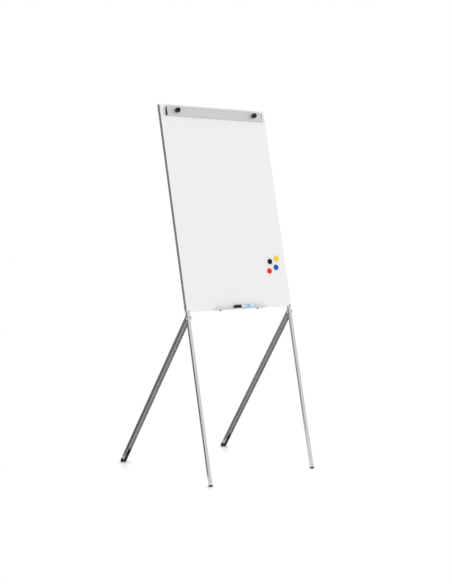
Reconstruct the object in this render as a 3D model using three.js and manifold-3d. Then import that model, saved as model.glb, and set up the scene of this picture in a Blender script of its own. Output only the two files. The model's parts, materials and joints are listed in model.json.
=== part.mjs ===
// Flipchart easel: a magnetic white board in an aluminium frame, on two front legs
// that slide into the frame's side rails and two channel-section rear legs that
// hinge on them and fold forwards round them.
//
// Millimetres. X runs to the right seen from the front, Y runs backwards and Z up.
// The origin is the middle of the footprint, on the floor.

import * as THREE from 'three';
import { mergeVertices } from 'three/addons/utils/BufferGeometryUtils.js';
import Module from 'manifold-3d';

const wasm = await Module();
wasm.setup();

// ---------------------------------------------------------------- dimensions

const GAP = 0.3; // running or assembly gap between two touching pieces
const ROUND = 24; // sides of a round hole or shaft
const OVERLAP = 1; // how far two joined shapes, or a cutter and what it cuts, run into each other

const BOARD_WIDTH = 680;
const BOARD_HEIGHT = 1050;
const LEG_BELOW_BOARD = 848; // front leg from the floor to the board's lower edge
const LEAN = THREE.MathUtils.degToRad(12.5); // board and front legs, from vertical
const REAR_LEAN = THREE.MathUtils.degToRad(35.4); // rear legs, from vertical

const SHEET_THICKNESS = 0.6;
const GLUE_LINE = 0.2;
const SHEET_CORNER = 3;
const CORE_THICKNESS = 6;
const BACK_THICKNESS = 0.5;

const LEG_SIZE = 15;
const LEG_WALL = 1.2;
const LEG_CORNER = 1.5;
const LEG_INSERT = 180; // length of front leg hidden in the side rail

const RAIL_WALL = 1.2;
const RAIL_SIZE = LEG_SIZE + 2 * (GAP + RAIL_WALL);
const RAIL_FRONT = SHEET_THICKNESS + GLUE_LINE;
const RAIL_BACK = RAIL_FRONT + RAIL_SIZE;
const RAIL_CHAMBER = RAIL_SIZE - 2 * RAIL_WALL;
const COLLAR_HEIGHT = 8;
const TOP_CAP_HEIGHT = 3;
const PLUG_LENGTH = 14;
const JOINER_LENGTH = 40;

const LEG_SCREW_HEIGHTS = [27, 152]; // above the board's lower edge
const LEG_SCREW_RADIUS = 2;
const LEG_SCREW_HEAD = 3.5;
const LEG_SCREW_HEAD_HEIGHT = 2;
const LEG_SCREW_TIP = 3; // past the leg's outer wall

const FRONT_FOOT_SIZE = 15.6;
const FRONT_FOOT_TOP = 9; // the shoulder that the tube stands on
const FRONT_PLUG_LENGTH = 22;
const FOOT_CHAMFER = 1.5;

const HINGE_DROP = 29; // hinge axis below the board's lower edge
const HINGE_RADIUS = 3;
const HINGE_HEAD_RADIUS = 5.5;
const HINGE_HEAD_HEIGHT = 3;
const HINGE_HEAD_BEVEL = 1.5;
const NUT_RADIUS = 5;
const NUT_HEIGHT = 9;
const NUT_BORE_LENGTH = 6.5;
const NUT_DOME_STEPS = 4;
const SPACER_RADIUS = 6;

const CHANNEL_WIDTH = 24;
const CHANNEL_DEPTH = 20;
const CHANNEL_WALL = 1.5;
const CHANNEL_END_RADIUS = CHANNEL_DEPTH / 2;
const CHANNEL_AXIS_SETBACK = 2.4; // hinge axis in front of the channel's mid line
const WEB_TOP = -0.9; // the web's upper edge, the stop against the front leg
const SOLE_HEIGHT = 7; // centre of the rear foot's round end above the floor
const REAR_TIP_CLEARANCE = 26; // from the cheeks' round tips to the end of the foot
const REAR_PLUG_LENGTH = 55;
const SPLAY = THREE.MathUtils.degToRad(0.6); // each rear leg, turned outwards about the front leg

const CLAMP_LENGTH = 620; // over the end caps
const CLAMP_HEIGHT = 46;
const CLAMP_DEPTH = 15;
const CLAMP_WALL = 1.6;
const CLAMP_CORNER = 4;
const CLAMP_DROP = 36.5; // clamp's mid line below the board's upper edge
const CLAMP_CAP_THICKNESS = 1.5;
const CLAMP_CAP_PLUG = 8; // length inside the bar

const STUD_SPACING = 498;
const STUD_RADIUS = 3;
const STUD_HEAD_RADIUS = 7;
const STUD_HEAD_HEIGHT = 2.5;
const STUD_REACH = 26.5; // in front of the board's face
const STUD_RISE = 2; // above the clamp's mid line

const KNOB_RADIUS = 12.4;
const KNOB_LOBES = 6;
const KNOB_LOBE_DEPTH = 0.9;
const KNOB_LOBE_STEPS = 10;
const KNOB_HUB_RADIUS = 9;
const KNOB_HUB_HEIGHT = 2;
const KNOB_GRIP_HEIGHT = 18;
const KNOB_BEVEL = 2.4;
const INSERT_RADIUS = 5;
const INSERT_LENGTH = 12;

const TRAY_LENGTH = 324;
const TRAY_OFFSET = -8.5; // the tray's middle, to the left of the board's
const TRAY_REACH = 21; // in front of the board's face
const TRAY_TONGUE = 10; // under the bottom rail
const TRAY_THICKNESS = 1.8;
const TRAY_BEND = 3;
const TRAY_LIP = 4.2; // the lip's upper edge, above the board's lower edge
const TRAY_SEAT = 2.4; // the bottom rail stands this far up, to let the tray's tongue in
const TRAY_SCREW_SPACING = 242;
const TRAY_SCREW_DEPTH = 5;
const TRAY_SCREW_RADIUS = 2;
const TRAY_SCREW_HEAD = 4.3;
const TRAY_SCREW_HEAD_HEIGHT = 3.8;
const TRAY_SCREW_TIP = 4; // past the rail's lower wall

const MARKER_RADIUS = 9.2;
const MARKER_CAP_RADIUS = 9.5;
const MARKER_CAP_START = -48;
const MARKER_CAP_LENGTH = 39;
const MARKER_END_WALL = 4; // at the closed ends of cap and barrel
const MARKER_CAP_BEVEL = 2.5;
const MARKER_END = 84;
const MARKER_PLUG_HEIGHT = 3.5;
const MARKER_PLUG_STUB = 7;
const MARKER_PLUG_BEVEL = 1.5;
const MARKER_NECK_RADIUS = 7;
const MARKER_NECK_LENGTH = 15;
const MARKER_HOLDER_RADIUS = 4;
const MARKER_HOLDER_LENGTH = 10;
const NIB_RADIUS = 2.4;
const NIB_LENGTH = 9; // inside the holder
const NIB_TIP = 4;
const NIB_BEVEL = 3;

const MAGNET_RADIUS = 14;
const MAGNET_HEIGHT = 7;
const MAGNET_EDGE = 2;
const MAGNET_CORE_RADIUS = 10;
const MAGNET_CORE_HEIGHT = 4;
const MAGNETS = [ // from the board's middle, and above its lower edge
  { name: 'black', x: 234, height: 238.5, colour: 0x17171a },
  { name: 'yellow', x: 282, height: 253.5, colour: 0xf2c800 },
  { name: 'blue', x: 270.5, height: 207, colour: 0x0c5fae },
  { name: 'red', x: 222.5, height: 189, colour: 0xdf2f2e },
];

// -------------------------------------------------------- derived dimensions

const BOARD_BOTTOM = LEG_BELOW_BOARD;
const BOARD_TOP = BOARD_BOTTOM + BOARD_HEIGHT;
const LEG_START = FRONT_FOOT_TOP + GAP;
const LEG_FRONT = RAIL_FRONT + RAIL_WALL + GAP;
const LEG_AXIS_DEPTH = LEG_FRONT + LEG_SIZE / 2;
const LEG_AXIS_X = BOARD_WIDTH / 2 - RAIL_WALL - GAP - LEG_SIZE / 2;
const INNER_WIDTH = BOARD_WIDTH - 2 * RAIL_SIZE - 2 * GAP;
const CORE_BACK = RAIL_FRONT + CORE_THICKNESS;
const BACK_FRONT = CORE_BACK + GLUE_LINE;
const BOTTOM_RAIL_EDGE = BOARD_BOTTOM + TRAY_SEAT;
const CLAMP_MIDDLE = BOARD_TOP - CLAMP_DROP;
const STUD_HEIGHT = CLAMP_MIDDLE + STUD_RISE;
const CLAMP_BAR_LENGTH = CLAMP_LENGTH - 2 * (CLAMP_CAP_THICKNESS + GAP);
const CHANNEL_OPEN_EDGE = CHANNEL_AXIS_SETBACK - CHANNEL_DEPTH / 2;
const CHANNEL_WEB_BACK = CHANNEL_AXIS_SETBACK + CHANNEL_DEPTH / 2;
const CHANNEL_INNER = CHANNEL_WIDTH - 2 * CHANNEL_WALL;
const MARKER_AXIS_DEPTH = -(MARKER_CAP_RADIUS + 1);
const MARKER_AXIS_HEIGHT = BOTTOM_RAIL_EDGE + MARKER_CAP_RADIUS;
const MARKER_BARREL_START = MARKER_CAP_START + MARKER_CAP_LENGTH + GAP;
const MARKER_BARREL_END = MARKER_END - MARKER_PLUG_HEIGHT - GAP;

const HINGE_SLOPE_HEIGHT = BOARD_BOTTOM - HINGE_DROP;
const HINGE_HEIGHT = HINGE_SLOPE_HEIGHT * Math.cos(LEAN) - LEG_AXIS_DEPTH * Math.sin(LEAN);

// Distance down the rear leg, from the hinge axis, to the centre of its foot's round end.
const REAR_FOOT_CENTRE =
  (HINGE_HEIGHT + CHANNEL_AXIS_SETBACK * Math.sin(REAR_LEAN) - SOLE_HEIGHT) / Math.cos(REAR_LEAN);
const CHEEK_END_CENTRE = REAR_FOOT_CENTRE - REAR_TIP_CLEARANCE;

// ------------------------------------------------------------------ materials

const finish = (color, roughness, metalness) => ({ color, roughness, metalness });
const FINISH = {
  whiteEnamel: finish(0xf1f2f2, 0.22, 0.0),
  cardCore: finish(0xb8a888, 0.9, 0.0),
  greyBack: finish(0xa9adb0, 0.55, 0.3),
  anodised: finish(0xb9bcc0, 0.38, 0.9),
  silverSteel: finish(0xa8abae, 0.42, 0.8),
  greyPlastic: finish(0xc3c6c8, 0.5, 0.0),
  blackPlastic: finish(0x17181a, 0.45, 0.0),
  blackRubber: finish(0x101112, 0.8, 0.0),
  blackScrew: finish(0x242628, 0.4, 0.7),
  plated: finish(0xcfd1d3, 0.22, 1.0),
  nylon: finish(0xd8d8d2, 0.5, 0.0),
  brass: finish(0xb89b5e, 0.35, 1.0),
  ferrite: finish(0x2c2b2d, 0.7, 0.2),
  markerBody: finish(0xdfe7ec, 0.35, 0.0),
  markerPlug: finish(0x8f8a8a, 0.45, 0.0),
  felt: finish(0x0c0c0e, 0.95, 0.0),
};

// -------------------------------------------------------------------- helpers

// A named mesh with its own material.
function piece(name, geometry, look) {
  const mesh = new THREE.Mesh(geometry, new THREE.MeshStandardMaterial(look));
  mesh.name = name;
  return mesh;
}

// A closed geometry as a manifold solid.
function toSolid(geometry) {
  const bare = geometry.clone();
  bare.deleteAttribute('normal');
  bare.deleteAttribute('uv');
  const merged = mergeVertices(bare, 1e-4);
  return new wasm.Manifold(new wasm.Mesh({
    numProp: 3,
    vertProperties: Float32Array.from(merged.attributes.position.array),
    triVerts: Uint32Array.from(merged.index.array),
  }));
}

function fromSolid(solid) {
  const mesh = solid.getMesh();
  const geometry = new THREE.BufferGeometry();
  geometry.setAttribute('position', new THREE.BufferAttribute(mesh.vertProperties, 3));
  geometry.setIndex(new THREE.BufferAttribute(mesh.triVerts, 1));
  geometry.computeVertexNormals();
  return geometry;
}

function cut(geometry, ...tools) {
  let solid = toSolid(geometry);
  for (const tool of tools) {
    solid = solid.subtract(toSolid(tool));
  }
  return fromSolid(solid);
}

function join(geometry, ...others) {
  let solid = toSolid(geometry);
  for (const other of others) {
    solid = solid.add(toSolid(other));
  }
  return fromSolid(solid);
}

// A box given by its low and high corners.
function block(low, high) {
  const size = high.map((value, i) => value - low[i]);
  const middle = high.map((value, i) => (value + low[i]) / 2);
  return new THREE.BoxGeometry(...size).translate(...middle);
}

function rod(radius, length) {
  return new THREE.CylinderGeometry(radius, radius, length, ROUND);
}

// A round bar along X, Y or Z, centred on a point.
const rodAlongX = (radius, length, x, y, z) => rod(radius, length).rotateZ(Math.PI / 2).translate(x, y, z);
const rodAlongY = (radius, length, x, y, z) => rod(radius, length).translate(x, y, z);
const rodAlongZ = (radius, length, x, y, z) => rod(radius, length).rotateX(Math.PI / 2).translate(x, y, z);

// A body of revolution about X, from [along, radius] points that start and end on the
// axis, or that go round a ring.
function turned(points, sides = ROUND) {
  const profile = points.map(([along, radius]) => new THREE.Vector2(radius, along));
  return new THREE.LatheGeometry(profile, sides).rotateZ(-Math.PI / 2);
}

const flat = { bevelEnabled: false, curveSegments: 8 };

// A section drawn in X and Y, extruded up Z.
function extrudeUp(shape, length) {
  return new THREE.ExtrudeGeometry(shape, { ...flat, depth: length });
}

// A section drawn as (Y, Z), extruded along X and centred on X = 0.
function extrudeAcross(shape, length) {
  const toYZX = new THREE.Matrix4().makeBasis(
    new THREE.Vector3(0, 1, 0),
    new THREE.Vector3(0, 0, 1),
    new THREE.Vector3(1, 0, 0),
  );
  return extrudeUp(shape, length).translate(0, 0, -length / 2).applyMatrix4(toYZX);
}

// A plate drawn as (X, Z), from one depth to another.
function plate(shape, front, thickness) {
  return extrudeUp(shape, thickness).rotateX(Math.PI / 2).translate(0, front + thickness, 0);
}

function polygon(points) {
  return new THREE.Shape(points.map(([a, b]) => new THREE.Vector2(a, b)));
}

function rectangle(left, bottom, right, top) {
  return polygon([[left, bottom], [right, bottom], [right, top], [left, top]]);
}

function roundedSquare(size, radius) {
  const h = size / 2;
  const quarter = Math.PI / 2;
  const shape = new THREE.Shape();
  shape.absarc(h - radius, h - radius, radius, 0, quarter);
  shape.absarc(radius - h, h - radius, radius, quarter, 2 * quarter);
  shape.absarc(radius - h, radius - h, radius, 2 * quarter, 3 * quarter);
  shape.absarc(h - radius, radius - h, radius, 3 * quarter, 4 * quarter);
  return shape;
}

function addRoundHole(shape, x, y, radius) {
  const hole = new THREE.Path();
  for (let i = 0; i < ROUND; i += 1) {
    const turn = -(i / ROUND) * 2 * Math.PI;
    const px = x + radius * Math.cos(turn);
    const py = y + radius * Math.sin(turn);
    if (i === 0) {
      hole.moveTo(px, py);
    } else {
      hole.lineTo(px, py);
    }
  }
  hole.closePath();
  shape.holes.push(hole);
}

const SIDES = [
  { name: 'left', sign: -1 },
  { name: 'right', sign: 1 },
];
const STUD_XS = [-STUD_SPACING / 2, STUD_SPACING / 2];
const TRAY_SCREW_XS = [-1, 1].map((side) => TRAY_OFFSET + side * TRAY_SCREW_SPACING / 2);

// The leaning group: Z runs up the board's slope from the floor line of its face, and
// Y runs into the board. Every function below that is not about a rear leg draws in it.

// ----------------------------------------------------------------- the panel

function addStudHoles(shape) {
  for (const x of STUD_XS) {
    addRoundHole(shape, x, STUD_HEIGHT, STUD_RADIUS + GAP);
  }
}

// The enamelled steel sheet: it covers the rails, leaves the lower corners to the collars,
// and has a shallow notch in its lower edge that the tray comes through.
function faceSheet() {
  const half = BOARD_WIDTH / 2;
  const notch = half - RAIL_SIZE - GAP;
  const step = BOARD_BOTTOM + COLLAR_HEIGHT + GAP;
  const trayHalf = TRAY_LENGTH / 2 + GAP;
  const shape = new THREE.Shape();
  shape.moveTo(-notch, BOARD_BOTTOM);
  shape.lineTo(TRAY_OFFSET - trayHalf, BOARD_BOTTOM);
  shape.lineTo(TRAY_OFFSET - trayHalf, BOTTOM_RAIL_EDGE);
  shape.lineTo(TRAY_OFFSET + trayHalf, BOTTOM_RAIL_EDGE);
  shape.lineTo(TRAY_OFFSET + trayHalf, BOARD_BOTTOM);
  shape.lineTo(notch, BOARD_BOTTOM);
  shape.lineTo(notch, step);
  shape.lineTo(half, step);
  shape.absarc(half - SHEET_CORNER, BOARD_TOP - SHEET_CORNER, SHEET_CORNER, 0, Math.PI / 2);
  shape.absarc(SHEET_CORNER - half, BOARD_TOP - SHEET_CORNER, SHEET_CORNER, Math.PI / 2, Math.PI);
  shape.lineTo(-half, step);
  shape.lineTo(-notch, step);
  addStudHoles(shape);
  return piece('face_sheet', plate(shape, 0, SHEET_THICKNESS), FINISH.whiteEnamel);
}

// A flat sheet that fills the opening between the four rails.
function infill(name, front, thickness, look) {
  const half = INNER_WIDTH / 2;
  const inset = RAIL_SIZE + GAP;
  const shape = rectangle(-half, BOTTOM_RAIL_EDGE + inset, half, BOARD_TOP - inset);
  addStudHoles(shape);
  return piece(name, plate(shape, front, thickness), look);
}

// ----------------------------------------------------------------- the frame

// Square hollow rail section, its corner at the outer front edge. sign turns it to either side.
function railShape(sign) {
  const shape = rectangle(0, RAIL_FRONT, sign * RAIL_SIZE, RAIL_BACK);
  const inside = sign * (RAIL_SIZE - RAIL_WALL);
  const wall = sign * RAIL_WALL;
  const hole = new THREE.Path();
  hole.moveTo(wall, RAIL_FRONT + RAIL_WALL);
  hole.lineTo(wall, RAIL_BACK - RAIL_WALL);
  hole.lineTo(inside, RAIL_BACK - RAIL_WALL);
  hole.lineTo(inside, RAIL_FRONT + RAIL_WALL);
  hole.closePath();
  shape.holes.push(hole);
  return shape;
}

function legScrewHoles(sign) {
  const x = sign * (BOARD_WIDTH / 2 - RAIL_WALL - GAP);
  const length = 2 * (RAIL_WALL + GAP + OVERLAP);
  return LEG_SCREW_HEIGHTS.map((height) => rodAlongX(
    LEG_SCREW_RADIUS + GAP, length, x, LEG_AXIS_DEPTH, BOARD_BOTTOM + height));
}

function sideRail({ name, sign }) {
  const low = BOARD_BOTTOM + COLLAR_HEIGHT + GAP;
  const high = BOARD_TOP - TOP_CAP_HEIGHT - GAP;
  const bar = extrudeUp(railShape(-sign), high - low).translate(sign * BOARD_WIDTH / 2, 0, low);
  return piece(`side_rail_${name}`, cut(bar, ...legScrewHoles(sign)), FINISH.anodised);
}

// The same section lying along X: outward is +1 for the top rail and -1 for the bottom one.
function crossRail(outward, outerEdge) {
  const toZYX = new THREE.Matrix4().makeBasis(
    new THREE.Vector3(0, 0, 1),
    new THREE.Vector3(0, 1, 0),
    new THREE.Vector3(-1, 0, 0),
  );
  return extrudeUp(railShape(-outward), INNER_WIDTH)
    .translate(0, 0, -INNER_WIDTH / 2)
    .applyMatrix4(toZYX)
    .translate(0, 0, outerEdge);
}

function topRail() {
  return piece('top_rail', crossRail(1, BOARD_TOP), FINISH.anodised);
}

function bottomRail() {
  const holes = TRAY_SCREW_XS.map((x) => rodAlongZ(
    TRAY_SCREW_RADIUS + GAP, 2 * (RAIL_WALL + OVERLAP), x, TRAY_SCREW_DEPTH, BOTTOM_RAIL_EDGE));
  return piece('bottom_rail', cut(crossRail(-1, BOTTOM_RAIL_EDGE), ...holes), FINISH.anodised);
}

// A plastic block in the end of a cross rail, which the side rail is fastened to.
function joiner(level, { name, sign }) {
  const half = RAIL_CHAMBER / 2 - GAP;
  const middle = level === 'top' ? BOARD_TOP - RAIL_SIZE / 2 : BOTTOM_RAIL_EDGE + RAIL_SIZE / 2;
  const depth = (RAIL_FRONT + RAIL_BACK) / 2;
  const end = INNER_WIDTH / 2;
  const xs = [sign * end, sign * (end - JOINER_LENGTH)].sort((a, b) => a - b);
  const geometry = block([xs[0], depth - half, middle - half], [xs[1], depth + half, middle + half]);
  return piece(`joiner_${level}_${name}`, geometry, FINISH.greyPlastic);
}

// The cap on a side rail's upper end, with a plug down into the rail.
function topCap({ name, sign }) {
  const outer = sign * BOARD_WIDTH / 2;
  const xs = [outer, outer - sign * RAIL_SIZE].sort((a, b) => a - b);
  const lid = block([xs[0], RAIL_FRONT, BOARD_TOP - TOP_CAP_HEIGHT], [xs[1], RAIL_BACK, BOARD_TOP]);
  const inset = RAIL_WALL + GAP;
  const plug = block(
    [xs[0] + inset, RAIL_FRONT + inset, BOARD_TOP - PLUG_LENGTH],
    [xs[1] - inset, RAIL_BACK - inset, BOARD_TOP - OVERLAP],
  );
  return piece(`top_cap_${name}`, join(lid, plug), FINISH.greyPlastic);
}

// The collar that the leg comes out of, which fills the board's lower corner.
function legCollar({ name, sign }) {
  const outer = sign * BOARD_WIDTH / 2;
  const xs = [outer, outer - sign * RAIL_SIZE].sort((a, b) => a - b);
  const body = block([xs[0], 0, BOARD_BOTTOM], [xs[1], RAIL_BACK, BOARD_BOTTOM + COLLAR_HEIGHT]);
  const inset = RAIL_WALL;
  const passage = block(
    [xs[0] + inset, RAIL_FRONT + inset, BOARD_BOTTOM - OVERLAP],
    [xs[1] - inset, RAIL_BACK - inset, BOARD_BOTTOM + COLLAR_HEIGHT + OVERLAP],
  );
  return piece(`leg_collar_${name}`, cut(body, passage), FINISH.greyPlastic);
}

// ------------------------------------------------------------ the front legs

function frontLeg({ name, sign }) {
  const shape = roundedSquare(LEG_SIZE, LEG_CORNER);
  shape.holes.push(roundedSquare(LEG_SIZE - 2 * LEG_WALL, LEG_CORNER / 2));
  const length = BOARD_BOTTOM + LEG_INSERT - LEG_START;
  const tube = extrudeUp(shape, length).translate(sign * LEG_AXIS_X, LEG_AXIS_DEPTH, LEG_START);
  const hingeHole = rodAlongX(
    HINGE_RADIUS + GAP, 2 * LEG_SIZE, sign * LEG_AXIS_X, LEG_AXIS_DEPTH, HINGE_SLOPE_HEIGHT);
  return piece(`front_leg_${name}`, cut(tube, hingeHole, ...legScrewHoles(sign)), FINISH.silverSteel);
}

// A rubber foot: a block under the tube's end, with a sole cut level with the floor, and a
// plug up inside the tube.
function frontFoot({ name, sign }) {
  const front = LEG_AXIS_DEPTH - FRONT_FOOT_SIZE / 2;
  const back = LEG_AXIS_DEPTH + FRONT_FOOT_SIZE / 2;
  const floor = (depth) => depth * Math.tan(LEAN);
  const outline = polygon([
    [front, FRONT_FOOT_TOP],
    [front, floor(front) + FOOT_CHAMFER],
    [front + FOOT_CHAMFER, floor(front + FOOT_CHAMFER)],
    [back - FOOT_CHAMFER, floor(back - FOOT_CHAMFER)],
    [back, floor(back) + FOOT_CHAMFER],
    [back, FRONT_FOOT_TOP],
  ]);
  const reach = LEG_SIZE / 2 - LEG_WALL - GAP;
  const plug = block(
    [-reach, LEG_AXIS_DEPTH - reach, FRONT_FOOT_TOP - OVERLAP],
    [reach, LEG_AXIS_DEPTH + reach, FRONT_FOOT_TOP + FRONT_PLUG_LENGTH],
  );
  const geometry = join(extrudeAcross(outline, FRONT_FOOT_SIZE), plug).translate(sign * LEG_AXIS_X, 0, 0);
  return piece(`front_foot_${name}`, geometry, FINISH.blackRubber);
}

// The screws that hold a front leg in its rail, from the lower one up.
function legScrews({ name, sign }) {
  const reach = RAIL_WALL + GAP + LEG_WALL + LEG_SCREW_TIP;
  const points = [
    [-LEG_SCREW_HEAD_HEIGHT, 0],
    [-LEG_SCREW_HEAD_HEIGHT, LEG_SCREW_HEAD],
    [0, LEG_SCREW_HEAD],
    [0, LEG_SCREW_RADIUS],
    [reach, LEG_SCREW_RADIUS],
    [reach, 0],
  ];
  return LEG_SCREW_HEIGHTS.map((height, i) => {
    const screw = turned(points);
    if (sign > 0) {
      screw.rotateZ(Math.PI);
    }
    screw.translate(sign * (BOARD_WIDTH / 2 + GAP), LEG_AXIS_DEPTH, BOARD_BOTTOM + height);
    return piece(`leg_screw_${name}_${i + 1}`, screw, FINISH.blackScrew);
  });
}

// ------------------------------------------------------------- the leg hinges

// Moves a piece drawn for the left hinge, outer end at -X, to either hinge.
function atHinge(geometry, sign) {
  if (sign > 0) {
    geometry.rotateZ(Math.PI);
  }
  return geometry.translate(sign * LEG_AXIS_X, LEG_AXIS_DEPTH, HINGE_SLOPE_HEIGHT);
}

function hingeBolt({ name, sign }) {
  const face = -CHANNEL_WIDTH / 2 - GAP;
  const tip = CHANNEL_WIDTH / 2 + NUT_BORE_LENGTH;
  const geometry = turned([
    [face - HINGE_HEAD_HEIGHT, 0],
    [face - HINGE_HEAD_HEIGHT, HINGE_HEAD_RADIUS - HINGE_HEAD_BEVEL],
    [face - HINGE_HEAD_HEIGHT + HINGE_HEAD_BEVEL, HINGE_HEAD_RADIUS],
    [face, HINGE_HEAD_RADIUS],
    [face, HINGE_RADIUS],
    [tip, HINGE_RADIUS],
    [tip, 0],
  ]);
  return piece(`hinge_bolt_${name}`, atHinge(geometry, sign), FINISH.plated);
}

// A domed cap nut on the bolt's inner end.
function hingeNut({ name, sign }) {
  const face = CHANNEL_WIDTH / 2 + GAP;
  const bore = HINGE_RADIUS + GAP;
  const dome = face + NUT_HEIGHT - NUT_RADIUS;
  const round = [];
  for (let i = 0; i < NUT_DOME_STEPS; i += 1) {
    const turn = (i / NUT_DOME_STEPS) * (Math.PI / 2);
    round.push([dome + NUT_RADIUS * Math.sin(turn), NUT_RADIUS * Math.cos(turn)]);
  }
  round.push([dome + NUT_RADIUS, 0]);
  const bottom = face + NUT_BORE_LENGTH;
  const geometry = turned([[bottom, 0], [bottom, bore], [face, bore], [face, NUT_RADIUS], ...round]);
  return piece(`hinge_nut_${name}`, atHinge(geometry, sign), FINISH.plated);
}

// The washer between the front leg and one cheek of the channel.
function hingeSpacer({ name, sign }, face) {
  const near = LEG_SIZE / 2 + GAP;
  const far = CHANNEL_INNER / 2 - GAP;
  const bore = HINGE_RADIUS + GAP;
  const ring = [[near, bore], [near, SPACER_RADIUS], [far, SPACER_RADIUS], [far, bore], [near, bore]];
  const geometry = turned(ring);
  if (face === 'outer') {
    geometry.rotateZ(Math.PI);
  }
  return piece(`hinge_spacer_${name}_${face}`, atHinge(geometry, sign), FINISH.nylon);
}

// -------------------------------------------------------------- the rear legs

// Rear-leg drawings: the hinge axis is the origin, Z runs up the leg and Y towards its web.

// A cheek with round ends, grown outwards by grow.
function cheekShape(grow) {
  const radius = CHANNEL_END_RADIUS + grow;
  const shape = new THREE.Shape();
  shape.absarc(CHANNEL_AXIS_SETBACK, 0, radius, 0, Math.PI);
  shape.absarc(CHANNEL_AXIS_SETBACK, -CHEEK_END_CENTRE, radius, Math.PI, 2 * Math.PI);
  return shape;
}

function cheeks(grow, holed) {
  const shape = cheekShape(grow);
  if (holed) {
    addRoundHole(shape, 0, 0, HINGE_RADIUS + GAP);
  }
  const offset = (CHANNEL_WIDTH - CHANNEL_WALL) / 2;
  const thickness = CHANNEL_WALL + 2 * grow;
  return [-offset, offset].map((x) => extrudeAcross(shape, thickness).translate(x, 0, 0));
}

function web(grow) {
  const half = CHANNEL_WIDTH / 2 + grow;
  return block(
    [-half, CHANNEL_WEB_BACK - CHANNEL_WALL - grow, -CHEEK_END_CENTRE - grow],
    [half, CHANNEL_WEB_BACK + grow, WEB_TOP],
  );
}

// The U-section leg. Its open side faces the front leg, which lies in it when folded.
function rearLeg({ name }) {
  return piece(`rear_leg_${name}`, join(web(0), ...cheeks(0, true)), FINISH.silverSteel);
}

// Outline of the foot's round end, with a level sole.
function soleShape() {
  const down = 1.5 * Math.PI - REAR_LEAN;
  const half = Math.acos(SOLE_HEIGHT / CHANNEL_END_RADIUS);
  const radius = CHANNEL_END_RADIUS;
  const y = CHANNEL_AXIS_SETBACK;
  const shape = new THREE.Shape();
  shape.moveTo(y + radius, -CHEEK_END_CENTRE);
  shape.lineTo(y - radius, -CHEEK_END_CENTRE);
  shape.absarc(y, -REAR_FOOT_CENTRE, radius, Math.PI, down - half);
  shape.absarc(y, -REAR_FOOT_CENTRE, radius, down + half, 2 * Math.PI);
  return shape;
}

// The rubber shoe: a plug in the channel, and a round end that fills in beyond the cheeks.
function rearFoot({ name }) {
  const shoe = extrudeAcross(soleShape(), CHANNEL_WIDTH);
  const reach = CHANNEL_INNER / 2 - GAP;
  const plug = block(
    [-reach, CHANNEL_OPEN_EDGE + GAP, -CHEEK_END_CENTRE - CHANNEL_END_RADIUS],
    [reach, CHANNEL_WEB_BACK - CHANNEL_WALL - GAP, REAR_PLUG_LENGTH - REAR_FOOT_CENTRE],
  );
  const geometry = cut(join(shoe, plug), web(GAP), ...cheeks(GAP, false));
  return piece(`rear_foot_${name}`, geometry, FINISH.blackRubber);
}

// A rear leg and its foot, swung open from its front leg and turned a little outwards.
function rearLegAssembly(side) {
  const open = new THREE.Group();
  open.rotation.x = LEAN + REAR_LEAN;
  open.add(rearLeg(side), rearFoot(side));
  const splayed = new THREE.Group();
  splayed.position.set(side.sign * LEG_AXIS_X, LEG_AXIS_DEPTH, HINGE_SLOPE_HEIGHT);
  splayed.rotation.z = -side.sign * SPLAY;
  splayed.add(open);
  return splayed;
}

// --------------------------------------------------------------- the pad clamp

// Half-open box section: walls of a given inset, round at the front corners.
function clampProfile(inset, back) {
  const front = -CLAMP_DEPTH + inset;
  const half = CLAMP_HEIGHT / 2 - inset;
  const radius = CLAMP_CORNER - inset;
  const path = new THREE.Path();
  path.moveTo(back, half);
  path.absarc(front + radius, half - radius, radius, Math.PI / 2, Math.PI);
  path.absarc(front + radius, radius - half, radius, Math.PI, 1.5 * Math.PI);
  path.lineTo(back, -half);
  return path.getPoints(3);
}

function clampBar() {
  const outer = clampProfile(0, -GAP);
  const inner = clampProfile(CLAMP_WALL, -GAP).reverse();
  const bar = extrudeAcross(new THREE.Shape([...outer, ...inner]), CLAMP_BAR_LENGTH);
  const drill = 2 * (CLAMP_WALL + OVERLAP);
  const holes = STUD_XS.map((x) => rodAlongY(
    STUD_RADIUS + 2 * GAP, drill, x, -CLAMP_DEPTH, STUD_RISE));
  return piece('clamp_bar', cut(bar, ...holes).translate(0, 0, CLAMP_MIDDLE), FINISH.anodised);
}

// The black cap on one end of the clamp bar: a plate of the bar's full section, with a plug
// inside the bar.
function clampEndCap({ name, sign }) {
  const end = CLAMP_LENGTH / 2;
  const lid = extrudeAcross(new THREE.Shape(clampProfile(0, -GAP)), CLAMP_CAP_THICKNESS)
    .translate(sign * (end - CLAMP_CAP_THICKNESS / 2), 0, 0);
  const plugSection = new THREE.Shape(clampProfile(CLAMP_WALL + GAP, -2 * GAP));
  const plugMiddle = end - CLAMP_CAP_THICKNESS + (OVERLAP - CLAMP_CAP_PLUG) / 2;
  const plug = extrudeAcross(plugSection, CLAMP_CAP_PLUG + OVERLAP).translate(sign * plugMiddle, 0, 0);
  const geometry = join(lid, plug).translate(0, 0, CLAMP_MIDDLE);
  return piece(`clamp_end_cap_${name}`, geometry, FINISH.blackPlastic);
}

// A fixed stud: its flat head is behind the panel and its shank stands out in front.
function clampStud({ name, sign }) {
  const base = BACK_FRONT + BACK_THICKNESS + GAP + STUD_HEAD_HEIGHT;
  const shank = base + STUD_REACH;
  const profile = [
    [0, 0], [STUD_HEAD_RADIUS, 0], [STUD_HEAD_RADIUS, STUD_HEAD_HEIGHT],
    [STUD_RADIUS, STUD_HEAD_HEIGHT], [STUD_RADIUS, shank], [0, shank],
  ];
  const geometry = new THREE.LatheGeometry(profile.map(([r, y]) => new THREE.Vector2(r, y)), ROUND)
    .rotateX(Math.PI)
    .translate(sign * STUD_SPACING / 2, base, STUD_HEIGHT);
  return piece(`clamp_stud_${name}`, geometry, FINISH.plated);
}

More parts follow.
